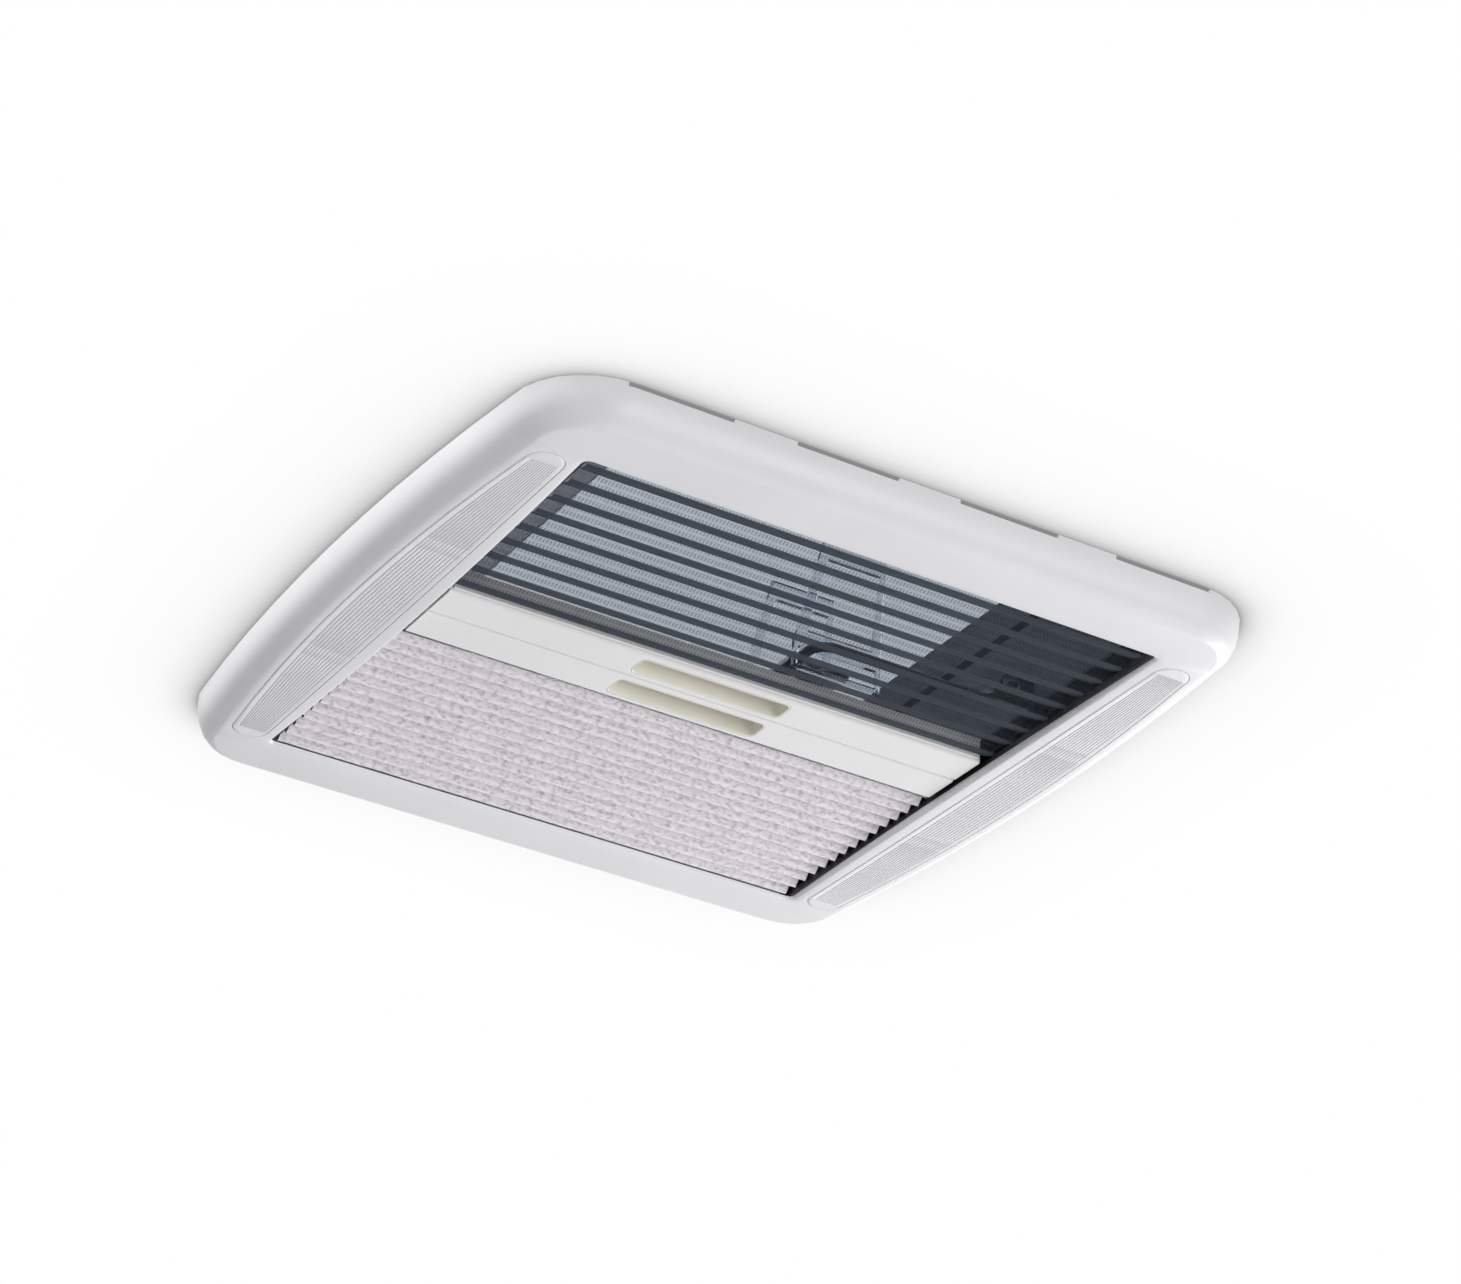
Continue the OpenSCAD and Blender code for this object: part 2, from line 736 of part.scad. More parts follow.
// Stiffening web on the flange, drawn towards +X from the duct wall
module gusset() {
    rotate([90, 0, 0]) translate([0, 0, -web_t / 2]) linear_extrude(web_t)
        polygon([[0, flange_z], [web_l, flange_z], [web_l, flange_z + web_low], [0, upstand_z - lip_h]]);
}

module flange_webs() {
    color("#3a3d42") for (side = [-1, 1]) {
        for (y = web_ys) mirror([side > 0 ? 0 : 1, 0, 0]) translate([wall_x, y, 0]) gusset();
        for (x = web_xs) rotate([0, 0, side * 90]) translate([wall_y, x, 0]) gusset();
    }
}

module dome_seal() {
    color("#18181a") duct_ring(seal_w, upstand_z, seal_z);
}

// Smoked strip along the opening side of the duct
module draught_guard() {
    color("#50545c") along_y(guard_l) {
        translate([-duct_x, guard_z]) square([guard_w, guard_t]);
        translate([-duct_x, guard_z]) square([guard_t, guard_h]);
    }
}

// ---------- hinges ----------

module hinge_brackets() {
    color("#26282c") for (end = [-1, 1]) translate([0, end * hinge_y, 0]) difference() {
        union() {
            translate([hinge_x - bracket_in, -ear_out, flange_z])
                cube([flange_x - bracket_in / 4 - hinge_x + bracket_in, 2 * ear_out, bracket_t]);
            for (side = [-1, 1]) translate([hinge_x, side * (ear_in + ear_out) / 2, 0]) rotate([90, 0, 0])
                translate([0, 0, -(ear_out - ear_in) / 2]) linear_extrude(ear_out - ear_in) {
                    translate([0, hinge_z]) circle(r = knuckle_r, $fn = round_fn);
                    translate([-knuckle_r, flange_z]) square([2 * knuckle_r, hinge_z - flange_z]);
                }
        }
        pin_y(hinge_x, 0, hinge_z, hinge_pin_d + 2 * pin_clear, 2 * ear_out + 2 * cut);
    }
}

module hinge_pins() {
    color("silver") for (end = [-1, 1]) {
        pin_y(hinge_x, end * hinge_y, hinge_z, hinge_pin_d, 2 * ear_out + 2 * pin_head_h);
        for (side = [-1, 1])
            pin_y(hinge_x, end * hinge_y + side * (ear_out + pin_head_h / 2), hinge_z, pin_head_d, pin_head_h);
    }
}

// Arms that reach from the hinge pins, under the skirt, to the brim of the dome
module hinge_leaves() {
    color("#26282c") for (end = [-1, 1]) translate([0, end * hinge_y, 0]) difference() {
        union() {
            pin_y(hinge_x, 0, hinge_z, 2 * leaf_r, leaf_l);
            along_y(leaf_l) {
                translate([hinge_x - leaf_t / 2, hinge_z]) square([leaf_t, arm_z - hinge_z + leaf_t]);
                translate([arm_x, arm_z]) square([hinge_x + leaf_t / 2 - arm_x, leaf_t]);
                translate([arm_x, arm_z]) square([leaf_t, brim_z - arm_z]);
                translate([pad_x, brim_z - leaf_t]) square([arm_x - pad_x + leaf_t, leaf_t]);
            }
        }
        pin_y(hinge_x, 0, hinge_z, hinge_pin_d + 2 * pin_clear, leaf_l + 2 * cut);
        for (side = [-1, 1]) translate([dome_screw_x, side * dome_screw_y, brim_z - leaf_t - cut])
            cylinder(d = screw_bore_d, h = leaf_t + 2 * cut, $fn = round_fn);
    }
}

module dome_screws() {
    color("silver") for (end = [-1, 1], side = [-1, 1])
        translate([dome_screw_x, end * hinge_y + side * dome_screw_y, brim_z - leaf_t]) {
            cylinder(d = screw_d, h = leaf_t + frame_t, $fn = round_fn);
            translate([0, 0, -screw_head_h]) cylinder(d = screw_head_d, h = screw_head_h, $fn = round_fn);
        }
}

// ---------- dome ----------

// Rings of a dome surface, inset from the outside by t, from the skirt up to a small cap
function dome_rings(t) = concat(
    [[dome_hx - t, dome_hy - t, dome_r - t, 0, brim_z - skirt_drop, 0, 0]],
    [for (i = [0 : dome_steps]) let (s = i / dome_steps, k = 1 - 0.9 * pow(s, 4))
        [(dome_hx - t) * k, (dome_hy - t) * k, min(dome_r - t, 0.8 * (dome_hx - t) * k), 0,
            brim_z + (dome_z - t - brim_z) * (1 - pow(1 - s, 2)), 0, 0]]
);

module dome_outer() {
    inside = dome_rings(pane_t);
    color("#9fa8b0", 0.5)
        loft(concat([for (i = [len(inside) - 1 : -1 : 0]) inside[i]], dome_rings(0)), closed = false);
}

module dome_inner() {
    color("#a8b0b8", 0.5) translate([0, 0, inner_z]) linear_extrude(pane_t)
        rounded(throat_hx + 2 * frame_t, throat_hy + 2 * frame_t, throat_r + 2 * frame_t);
}

// Ring between the panes that carries the hinges and presses on the seal
module dome_frame() {
    color("#34373c") difference() {
        union() {
            flat_ring(dome_hx - pane_t - fit_clear, dome_hy - pane_t - fit_clear, dome_r - pane_t - fit_clear,
                throat_hx, throat_hy, throat_r, brim_z, brim_z + frame_t);
            flat_ring(throat_hx + frame_t, throat_hy + frame_t, throat_r + frame_t,
                throat_hx, throat_hy, throat_r, brim_z, inner_z);
        }
        for (end = [-1, 1], side = [-1, 1])
            translate([dome_screw_x, end * hinge_y + side * dome_screw_y, brim_z - cut])
            cylinder(d = screw_bore_d, h = frame_t + 2 * cut, $fn = round_fn);
    }
}

// ---------- bail ----------

// Slotted plates under the dome in which the crossbar of the bail runs
module bail_guides() {
    color("#5a6068") for (side = [-1, 1]) translate([0, side * guide_y, 0]) along_y(guide_t) difference() {
        polygon([[slot_x0 - slot_wall, slot_z0 - slot_wall], [slot_x1 + slot_wall, slot_z0 - slot_wall],
            [slot_x1 + slot_wall, slot_z1 + slot_wall], [guide_x1, inner_z], [guide_x0, inner_z],
            [slot_x0 - slot_wall, slot_z1 + slot_wall]]);
        translate([slot_x0, slot_z0]) square([slot_x1 - slot_x0, slot_z1 - slot_z0]);
        polygon([
            [guide_x0 + slot_wall, inner_z - 4 * slot_wall],
            [guide_x1 - slot_wall, inner_z - 4 * slot_wall],
            [slot_x1 - slot_wall, slot_z1 + 4 * slot_wall],
            [slot_x0 + 2 * slot_wall, slot_z1 + 4 * slot_wall]
        ]);
    }
}

// Quarter bend of the bail rod about [x, y], starting at angle a
module rod_bend(x, y, a) {
    translate([x, y, bail_z]) rotate([0, 0, a]) rotate_extrude(angle = 90, $fn = round_fn)
        translate([bail_r, 0]) circle(d = bail_d, $fn = round_fn);
}

module bail_rod() {
    leg_y = bail_w / 2;
    color("#101012") {
        pin_y(bail_x0, 0, bail_z, bail_d, bail_w - 2 * bail_r);
        for (side = [-1, 1]) mirror([0, side > 0 ? 0 : 1, 0]) {
            rod_bend(bail_x0 + bail_r, leg_y - bail_r, 90);
            translate([bail_x0 + bail_r, leg_y, bail_z]) rotate([0, 90, 0])
                cylinder(d = bail_d, h = bail_l - 2 * bail_r, $fn = round_fn);
            rod_bend(bail_x1 - bail_r, leg_y + bail_r, -90);
            translate([bail_x1, leg_y + bail_r, bail_z]) rotate([-90, 0, 0])
                cylinder(d = bail_d, h = pivot_l, $fn = round_fn);
        }
    }
}

module bail_grip() {
    color("#3c4048") difference() {
        union() {
            pin_y(bail_x0, 0, bail_z, bail_d + 2 * grip_wall, grip_w);
            translate([bail_x0, -grip_w / 2, bail_z - grip_t / 2]) cube([grip_l, grip_w, grip_t]);
        }
        pin_y(bail_x0, 0, bail_z, bail_d + 2 * pin_clear, grip_w + 2 * cut);
    }
}

// Push-on washers at the ends of the bail
module bail_clips() {
    clip_y = bearing_y + bearing_w / 2 + slide_clear + clip_t / 2;
    color("silver") for (side = [-1, 1]) difference() {
        pin_y(bail_x1, side * clip_y, bail_z, 2 * bail_d, clip_t);
        pin_y(bail_x1, side * clip_y, bail_z, bail_d + 2 * pin_clear, clip_t + 2 * cut);
    }
}

// Blocks on the duct wall that carry the bail
module bail_bearings() {
    color("#1c1c1f") for (side = [-1, 1]) translate([0, side * bearing_y, 0]) difference() {
        along_y(bearing_w) {
            translate([bail_x1, bail_z]) circle(r = bearing_r, $fn = round_fn);
            translate([bail_x1, bail_z - bearing_r]) square([duct_x - bail_x1, 2 * bearing_r]);
        }
        pin_y(bail_x1, 0, bail_z, bail_d + 2 * pin_clear, bearing_w + 2 * cut);
    }
}

inner_frame();
cover_strip_left();
cover_strip_right();
screw_tray_left();
screw_tray_right();
guide_rail_left();
guide_rail_right();
screen_header();
blackout_header();
flyscreen();
blackout_fabric();
tension_cords();
cord_anchors();
fixing_screws();
roof_flange();
duct();
screw_towers();
flange_webs();
dome_seal();
hinge_brackets();
hinge_pins();
bail_bearings();
draught_guard();
screen_bar();
screen_pull();
screen_clamp();
screen_glides();
blackout_bar();
blackout_pull();
blackout_clamp();
blackout_glides();
dome_outer();
dome_inner();
dome_frame();
hinge_leaves();
bail_guides();
dome_screws();
bail_rod();
bail_grip();
bail_clips();
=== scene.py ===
import json
import math

import bmesh
import bpy
from bpy.props import FloatProperty, FloatVectorProperty, PointerProperty
from mathutils import Matrix, Vector, noise


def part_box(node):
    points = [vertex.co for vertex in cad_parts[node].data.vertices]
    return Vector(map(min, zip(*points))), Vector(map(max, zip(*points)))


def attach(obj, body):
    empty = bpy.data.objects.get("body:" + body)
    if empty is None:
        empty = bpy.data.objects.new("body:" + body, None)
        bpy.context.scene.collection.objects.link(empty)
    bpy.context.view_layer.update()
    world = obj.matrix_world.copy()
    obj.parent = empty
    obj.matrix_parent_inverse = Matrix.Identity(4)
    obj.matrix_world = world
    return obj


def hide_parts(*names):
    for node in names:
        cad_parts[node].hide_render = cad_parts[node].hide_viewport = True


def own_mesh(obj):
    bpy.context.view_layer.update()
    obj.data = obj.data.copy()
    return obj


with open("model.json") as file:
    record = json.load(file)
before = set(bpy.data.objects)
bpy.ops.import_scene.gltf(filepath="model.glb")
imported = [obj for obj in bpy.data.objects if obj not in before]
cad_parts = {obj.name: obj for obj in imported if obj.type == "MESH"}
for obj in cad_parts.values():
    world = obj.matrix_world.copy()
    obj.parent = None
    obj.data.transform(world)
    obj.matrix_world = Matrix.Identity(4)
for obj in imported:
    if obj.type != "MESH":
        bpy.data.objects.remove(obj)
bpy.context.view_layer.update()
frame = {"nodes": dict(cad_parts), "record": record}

bl_info = {
    "name": "Caravan rooflight",
    "version": (1, 0, 0),
    "blender": (4, 5, 0),
    "location": "3D View > Sidebar > Rooflight",
    "description": "Finishes a caravan rooflight: moulded frame, pleated blinds, bail and tinted dome",
    "category": "Add Mesh",
}

MM = 0.001
# Vertices nearer than this are one vertex in a redrawn copy
WELD_GAP = 0.002 * MM
# Faces that meet within this angle, in degrees, are one flat face before their edges are rounded
FLAT_ANGLE = 0.5


def linear(hex_colour):
    """Scene-linear RGB of an sRGB hex colour."""
    parts = [int(hex_colour[i:i + 2], 16) / 255 for i in (1, 3, 5)]
    return tuple(c / 12.92 if c <= 0.04045 else ((c + 0.055) / 1.055) ** 2.4 for c in parts)


def rgba(colour):
    """RGB with full alpha, as colour sockets want it."""
    return (*colour[:3], 1.0)


def colour_property(name, description, hex_colour):
    """A colour that the user may change."""
    return FloatVectorProperty(
        name=name, description=description, default=linear(hex_colour), subtype="COLOR", size=3, min=0, max=1
    )


# ---------- what a user may change ----------


class RooflightSizes(bpy.types.PropertyGroup):
    """Sizes of the surface detail."""

    edge_round: FloatProperty(
        name="Edge rounding", description="Radius of the moulded edges", default=0.5 * MM, unit="LENGTH"
    )
    thread_gap: FloatProperty(
        name="Mesh thread spacing",
        description="Spacing of the threads in the insect screen",
        default=2.2 * MM,
        unit="LENGTH",
    )
    nap_size: FloatProperty(
        name="Fleece fleck size",
        description="Size of the flecks in the blackout cloth",
        default=1.5 * MM,
        unit="LENGTH",
    )
    fold_wander: FloatProperty(
        name="Fold wander",
        description="How far a fold of the cloth strays from straight",
        default=0.5 * MM,
        unit="LENGTH",
    )


class RooflightColours(bpy.types.PropertyGroup):
    """Colours of the finishes."""

    abs_white: colour_property("White ABS", "Moulded frame and cover strips", "#E6E6E9")
    bar_white: colour_property("White bar", "Pull bars of the blinds", "#EDEDED")
    pull_ivory: colour_property("Ivory ABS", "Finger pulls", "#E6E3D9")
    mesh_thread: colour_property("Screen thread", "Coated glass-fibre thread", "#343B45")
    fleece: colour_property("Fleece", "Ground of the blackout cloth", "#EAE5E9")
    fleck: colour_property("Fleece fleck", "Flecks in the blackout cloth", "#A79FA7")
    duct_grey: colour_property("Duct grey", "Roof frame and dome frame", "#55585F")
    acrylic: colour_property("Acrylic tint", "Panes of the dome", "#E6EBF1")
    smoke: colour_property("Smoked acrylic", "Bail grip and draught guard", "#A3A1A6")


# ---------- materials ----------


def add(tree, kind, inputs=None, **settings):
    """Adds a shader node with its settings, values and incoming links."""
    made = tree.nodes.new(kind)
    for name, value in settings.items():
        setattr(made, name, value)
    for socket, value in (inputs or {}).items():
        if isinstance(value, bpy.types.NodeSocket):
            tree.links.new(value, made.inputs[socket])
        else:
            made.inputs[socket].default_value = value
    return made


def new_material(name):
    """An empty node material with its output node."""
    material = bpy.data.materials.new(name)
    material.use_nodes = True
    material.node_tree.nodes.clear()
    return material, material.node_tree, material.node_tree.nodes.new("ShaderNodeOutputMaterial")


def mottle(tree, coordinates, size, detail=2.0):
    """Noise whose blotches are about size metres across."""
    return add(tree, "ShaderNodeTexNoise", {"Vector": coordinates, "Scale": 1 / size, "Detail": detail})


def blend_colours(tree, factor, first, second):
    """Mix of two colours by a factor socket."""
    mix = add(
        tree, "ShaderNodeMix", {0: factor, 6: rgba(first), 7: rgba(second)}, data_type="RGBA"
    )
    return mix.outputs[2]


def spread(tree, value, low, high, out_low=0.0, out_high=1.0):
    """Stretches a value from low..high to out_low..out_high, clamped."""
    return add(
        tree,
        "ShaderNodeMapRange",
        {"Value": value, "From Min": low, "From Max": high, "To Min": out_low, "To Max": out_high},
    ).outputs["Result"]


def moulded_plastic(name, colour, roughness, grain, bump, coat=0.0):
    """Injection-moulded plastic: even colour, a trace of orange peel that softens its highlights."""
    material, tree, output = new_material(name)
    place = add(tree, "ShaderNodeTexCoord").outputs["Object"]
    peel = mottle(tree, place, grain).outputs["Fac"]
    clouds = mottle(tree, place, 60 * MM).outputs["Fac"]
    tone = blend_colours(tree, spread(tree, clouds, 0.35, 0.65), [c * 0.975 for c in colour], colour)
    relief = add(
        tree, "ShaderNodeBump", {"Height": peel, "Strength": bump, "Distance": 0.05 * MM}
    ).outputs["Normal"]
    shader = add(
        tree,
        "ShaderNodeBsdfPrincipled",
        {
            "Base Color": tone,
            "Roughness": spread(tree, clouds, 0.3, 0.7, roughness * 0.9, roughness * 1.1),
            "IOR": 1.53,
            "Coat Weight": coat,
            "Coat Roughness": 0.08,
            "Normal": relief,
        },
    )
    tree.links.new(shader.outputs[0], output.inputs["Surface"])
    return material


def drawn_metal(name, colour, roughness, line):
    """Turned or drawn steel: fine lines that stretch the highlight."""
    material, tree, output = new_material(name)
    place = add(tree, "ShaderNodeTexCoord").outputs["Object"]
    stretched = add(tree, "ShaderNodeMapping", {"Vector": place, "Scale": (1, 1, 12)}).outputs["Vector"]
    lines = mottle(tree, stretched, line).outputs["Fac"]
    shader = add(
        tree,
        "ShaderNodeBsdfPrincipled",
        {
            "Base Color": blend_colours(tree, lines, [c * 0.8 for c in colour], colour),
            "Metallic": 1.0,
            "Roughness": spread(tree, lines, 0.3, 0.7, roughness * 0.7, roughness * 1.3),
        },
    )
    tree.links.new(shader.outputs[0], output.inputs["Surface"])
    return material


def clear_acrylic(name, colour, roughness):
    """Cast acrylic sheet: clear, tinted in the mass, with faint wipe marks in its gloss."""
    material, tree, output = new_material(name)
    place = add(tree, "ShaderNodeTexCoord").outputs["Object"]
    wipes = mottle(tree, place, 25 * MM, 4.0).outputs["Fac"]
    shader = add(
        tree,
        "ShaderNodeBsdfPrincipled",
        {
            "Base Color": blend_colours(tree, wipes, [c * 0.97 for c in colour], colour),
            "Roughness": spread(tree, wipes, 0.3, 0.7, roughness * 0.5, roughness * 1.5),
            "IOR": 1.49,
            "Transmission Weight": 1.0,
        },
    )
    tree.links.new(shader.outputs[0], output.inputs["Surface"])
    return material


def soft_rubber(name, colour):
    """Extruded EPDM: black, dull, lightly powdered."""
    material, tree, output = new_material(name)
    place = add(tree, "ShaderNodeTexCoord").outputs["Object"]
    powder = mottle(tree, place, 2 * MM, 5.0).outputs["Fac"]
    shader = add(
        tree,
        "ShaderNodeBsdfPrincipled",
        {
            "Base Color": blend_colours(
                tree, spread(tree, powder, 0.5, 0.8), colour, [c * 2 + 0.01 for c in colour]
            ),
            "Roughness": 0.75,
            "Specular IOR Level": 0.3,
        },
    )
    tree.links.new(shader.outputs[0], output.inputs["Surface"])
    return material


def repeat(tree, value, period):
    """Where value stands within its period, from 0 to 1."""
    turns = add(tree, "ShaderNodeMath", {0: value, 1: period}, operation="DIVIDE").outputs[0]
    return add(tree, "ShaderNodeMath", {0: turns}, operation="FRACT").outputs[0]


def screen_mesh(name, colour, thread_gap, fold_pitch):
    """Coated glass-fibre mesh: see-through between its threads, dense where the folds overlap.

    Real threads stand closer, too fine to show, so thread_gap draws them coarser.
    """
    material, tree, output = new_material(name)
    place = add(tree, "ShaderNodeUVMap", uv_map="cloth").outputs[0]
    cloth = add(tree, "ShaderNodeSeparateXYZ", {"Vector": place})
    across, along = cloth.outputs["X"], cloth.outputs["Y"]
    warp = spread(tree, repeat(tree, across, thread_gap), 0.4, 0.6)
    weft = spread(tree, repeat(tree, along, 2 * thread_gap), 0.25, 0.4)
    threads = add(tree, "ShaderNodeMath", {0: warp, 1: weft}, operation="MULTIPLY").outputs[0]
    fold = spread(tree, repeat(tree, along, fold_pitch), 0.6, 0.63, 1.0, 0.0)
    dense = add(
        tree, "ShaderNodeMath", {0: threads, 1: 0.3, 2: 0.2}, operation="MULTIPLY_ADD"
    ).outputs[0]
    cover = add(tree, "ShaderNodeMix", {0: fold, 2: dense, 3: 0.97}).outputs[0]
    shader = add(
        tree,
        "ShaderNodeBsdfPrincipled",
        {"Base Color": rgba(colour), "Roughness": 0.8, "Specular IOR Level": 0.15, "Alpha": cover},
    )
    tree.links.new(shader.outputs[0], output.inputs["Surface"])
    return material


def fleece_cloth(name, ground, fleck, size):
    """Needled polyester fleece: pale, matt, with darker fibres lying mostly across the blind."""
    material, tree, output = new_material(name)
    cloth = add(tree, "ShaderNodeUVMap", uv_map="cloth").outputs[0]
    lying = add(tree, "ShaderNodeMapping", {"Vector": cloth, "Scale": (0.4, 1, 1)}).outputs["Vector"]
    flecks = mottle(tree, lying, size, 3.0).outputs["Fac"]
    patches = mottle(tree, cloth, 4 * size, 2.0).outputs["Fac"]
    amount = add(
        tree,
        "ShaderNodeMath",
        {0: spread(tree, flecks, 0.44, 0.72), 1: spread(tree, patches, 0.35, 0.6, 0.4, 0.9)},
        operation="MULTIPLY",
    ).outputs[0]
    fibres = mottle(tree, lying, size / 4, 3.0).outputs["Fac"]
    relief = add(
        tree, "ShaderNodeBump", {"Height": fibres, "Strength": 0.5, "Distance": 0.3 * MM}
    ).outputs["Normal"]
    shader = add(
        tree,
        "ShaderNodeBsdfPrincipled",
        {
            "Base Color": blend_colours(tree, amount, ground, fleck),
            "Roughness": 0.9,
            "Sheen Weight": 0.3,
            "Sheen Roughness": 0.5,
            "Specular IOR Level": 0.2,
            "Normal": relief,
        },
    )
    tree.links.new(shader.outputs[0], output.inputs["Surface"])
    return material


# ---------- pieces ----------


def put_in_scene(name, mesh, material, body):
    """Makes an object of a finished mesh, dresses it and lets it ride on its body."""
    piece = bpy.data.objects.new(name, mesh)
    bpy.context.collection.objects.link(piece)
    mesh.materials.clear()
    mesh.materials.append(material)
    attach(piece, body)
    return piece


def body_of(node):
    """Name of the body that carries a CAD node."""
    for body, nodes in frame["record"]["behaviour"]["bodies"].items():
        if node in nodes:
            return body
    raise ValueError(node + " is on no body")


def redraw(node, name, material, round_edges=0.0, smooth_angle=30.0, shape=None):
    """A clean, smooth-shaded copy of a CAD node that stands for it; shape may move its vertices."""
    mesh = bpy.data.meshes.new(name)
    form = bmesh.new()
    form.from_mesh(frame["nodes"][node].data)
    bmesh.ops.remove_doubles(form, verts=form.verts, dist=WELD_GAP)
    if round_edges:
        bmesh.ops.dissolve_limit(
            form, angle_limit=math.radians(FLAT_ANGLE), verts=form.verts, edges=form.edges
        )
    if shape:
        for vertex in form.verts:
            vertex.co = shape(vertex.co)
    for face in form.faces:
        face.smooth = True
    form.to_mesh(mesh)
    form.free()
    mesh.set_sharp_from_angle(angle=math.radians(smooth_angle))
    piece = put_in_scene(name, mesh, material, body_of(node))
    if not round_edges:
        piece.modifiers.new("even shading", "WEIGHTED_NORMAL").keep_sharp = True
    else:
        bevel = piece.modifiers.new("rounded edges", "BEVEL")
        bevel.width = round_edges
        bevel.segments = 2
        bevel.limit_method = "ANGLE"
        bevel.angle_limit = math.radians(smooth_angle)
        bevel.harden_normals = True
    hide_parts(node)
    return piece


def refinish(material, *nodes):
    """Gives CAD nodes whose shape is right a real finish."""
    for node in nodes:
        for entry in frame["nodes"][node].material_slots:
            entry.material = material


def cloth_grid(node, folds, steps_per_fold, strips, height_at):
    """Sheet over a fabric node's place, folded by height_at; its UV map keeps the flat place in metres."""
    low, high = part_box(node)
    form = bmesh.new()
    bmesh.ops.create_grid(
        form, x_segments=strips, y_segments=round(folds * steps_per_fold), size=0.5
    )
    middle, span = (low + high) / 2, high - low
    uv = form.loops.layers.uv.new("cloth")
    for vertex in form.verts:
        vertex.co = Vector((middle.x + vertex.co.x * span.x, middle.y + vertex.co.y * span.y, 0))
    for face in form.faces:
        face.smooth = True
        for loop in face.loops:
            loop[uv].uv = (loop.vert.co.x, loop.vert.co.y)
    for vertex in form.verts:
        vertex.co = height_at(vertex.co, low, high)
    bmesh.ops.recalc_face_normals(form, faces=form.faces)
    return form


def lay_sheet(node):
    """Hides the fabric node, between the blind's header and clamp, that a pleated sheet stands for."""
    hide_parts(node)


class PieceOperator(bpy.types.Operator):
    """Shared ground of the operators that make pieces."""

    bl_options = {"REGISTER", "UNDO"}

    @property
    def sizes(self):
        return bpy.context.scene.rooflight_sizes

    @property
    def colours(self):
        return bpy.context.scene.rooflight_colours


class ROOFLIGHT_OT_inner_frame(PieceOperator):
    """Moulded room-side frame"""

    bl_idname = "rooflight.inner_frame"
    bl_label = "Inner frame"

    def execute(self, context):
        white = moulded_plastic("white ABS, satin moulded", self.colours.abs_white, 0.42, 1.5 * MM, 0.12)
        redraw("inner_frame", "frame_moulding", white)
        refinish(white, "screw_tray_left", "screw_tray_right")
        return {"FINISHED"}


class ROOFLIGHT_OT_cover_strips(PieceOperator):
    """Ribbed strips over the screws"""

    bl_idname = "rooflight.cover_strips"
    bl_label = "Cover strips"

    def execute(self, context):
        satin = moulded_plastic("white ABS, fine-textured", self.colours.abs_white, 0.5, 0.8 * MM, 0.2)
        for side in ("left", "right"):
            redraw("cover_strip_" + side, "ribbed_strip_" + side, satin)
        return {"FINISHED"}


class ROOFLIGHT_OT_insect_screen(PieceOperator):
    """Pleated mesh of the insect screen"""

    bl_idname = "rooflight.insect_screen"
    bl_label = "Insect screen"

    # The last fold ends part way, so that the folds fall at their real pitch
    folds = 9.625
    steps_per_fold = 8
    strips = 24

    def execute(self, context):
        low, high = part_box("flyscreen")
        pitch = (high.y - low.y) / self.folds

        def folded(place, low, high):
            turn = abs(((high.y - place.y) / pitch) % 1 * 2 - 1)
            return Vector((place.x, place.y, low.z + (high.z - low.z) * turn))

        form = cloth_grid("flyscreen", self.folds, self.steps_per_fold, self.strips, folded)
        uv = form.loops.layers.uv["cloth"]
        for face in form.faces:
            for loop in face.loops:
                loop[uv].uv.y = high.y - loop[uv].uv.y
        mesh = bpy.data.meshes.new("screen_mesh")
        form.to_mesh(mesh)
        form.free()
        cloth = screen_mesh(
            "glass-fibre mesh, coated", self.colours.mesh_thread, self.sizes.thread_gap, pitch
        )
        piece = put_in_scene("screen_mesh", mesh, cloth, "frame")
        lay_sheet("flyscreen")
        gather(piece)
        return {"FINISHED"}


class ROOFLIGHT_OT_blackout_cloth(PieceOperator):
    """Pleated cloth of the blackout blind"""

    bl_idname = "rooflight.blackout_cloth"
    bl_label = "Blackout cloth"

    folds = 15
    steps_per_fold = 10
    strips = 90
    # Length of the waves in a fold, how much of its rise is straight, and how far the waves go
    # sideways for each unit of height
    wave = 20 * MM
    peak_share = 0.4
    sideways = 1.2

    def execute(self, context):
        low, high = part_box("blackout_fabric")
        pitch = (high.y - low.y) / self.folds
        wander = self.sizes.fold_wander

        def folded(place, low, high):
            stray = noise.noise(Vector((place.x / self.wave, place.y / self.wave, 0))) * wander
            turn = ((place.y - low.y) / pitch) % 1
            peak = 1 - abs(turn * 2 - 1)
            soft = 0.5 - 0.5 * math.cos(2 * math.pi * turn)
            rise = self.peak_share * peak + (1 - self.peak_share) * soft
            height = low.z + (high.z - low.z) * rise
            fade = min(1, (place.y - low.y) / pitch, (high.y - place.y) / pitch)
            return Vector((place.x, place.y + self.sideways * stray * fade, height + stray * fade))

        form = cloth_grid("blackout_fabric", self.folds, self.steps_per_fold, self.strips, folded)
        mesh = bpy.data.meshes.new("blackout_cloth")
        form.to_mesh(mesh)
        form.free()
        cloth = fleece_cloth(
            "polyester fleece, needled", self.colours.fleece, self.colours.fleck, self.sizes.nap_size
        )
        piece = put_in_scene("blackout_cloth", mesh, cloth, "frame")
        lay_sheet("blackout_fabric")
        gather(piece)
        return {"FINISHED"}


def gather(piece):
    """Gives the sheet a mesh of its own; its folds do not close up towards the header as the bar runs back.
    """
    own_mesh(piece)


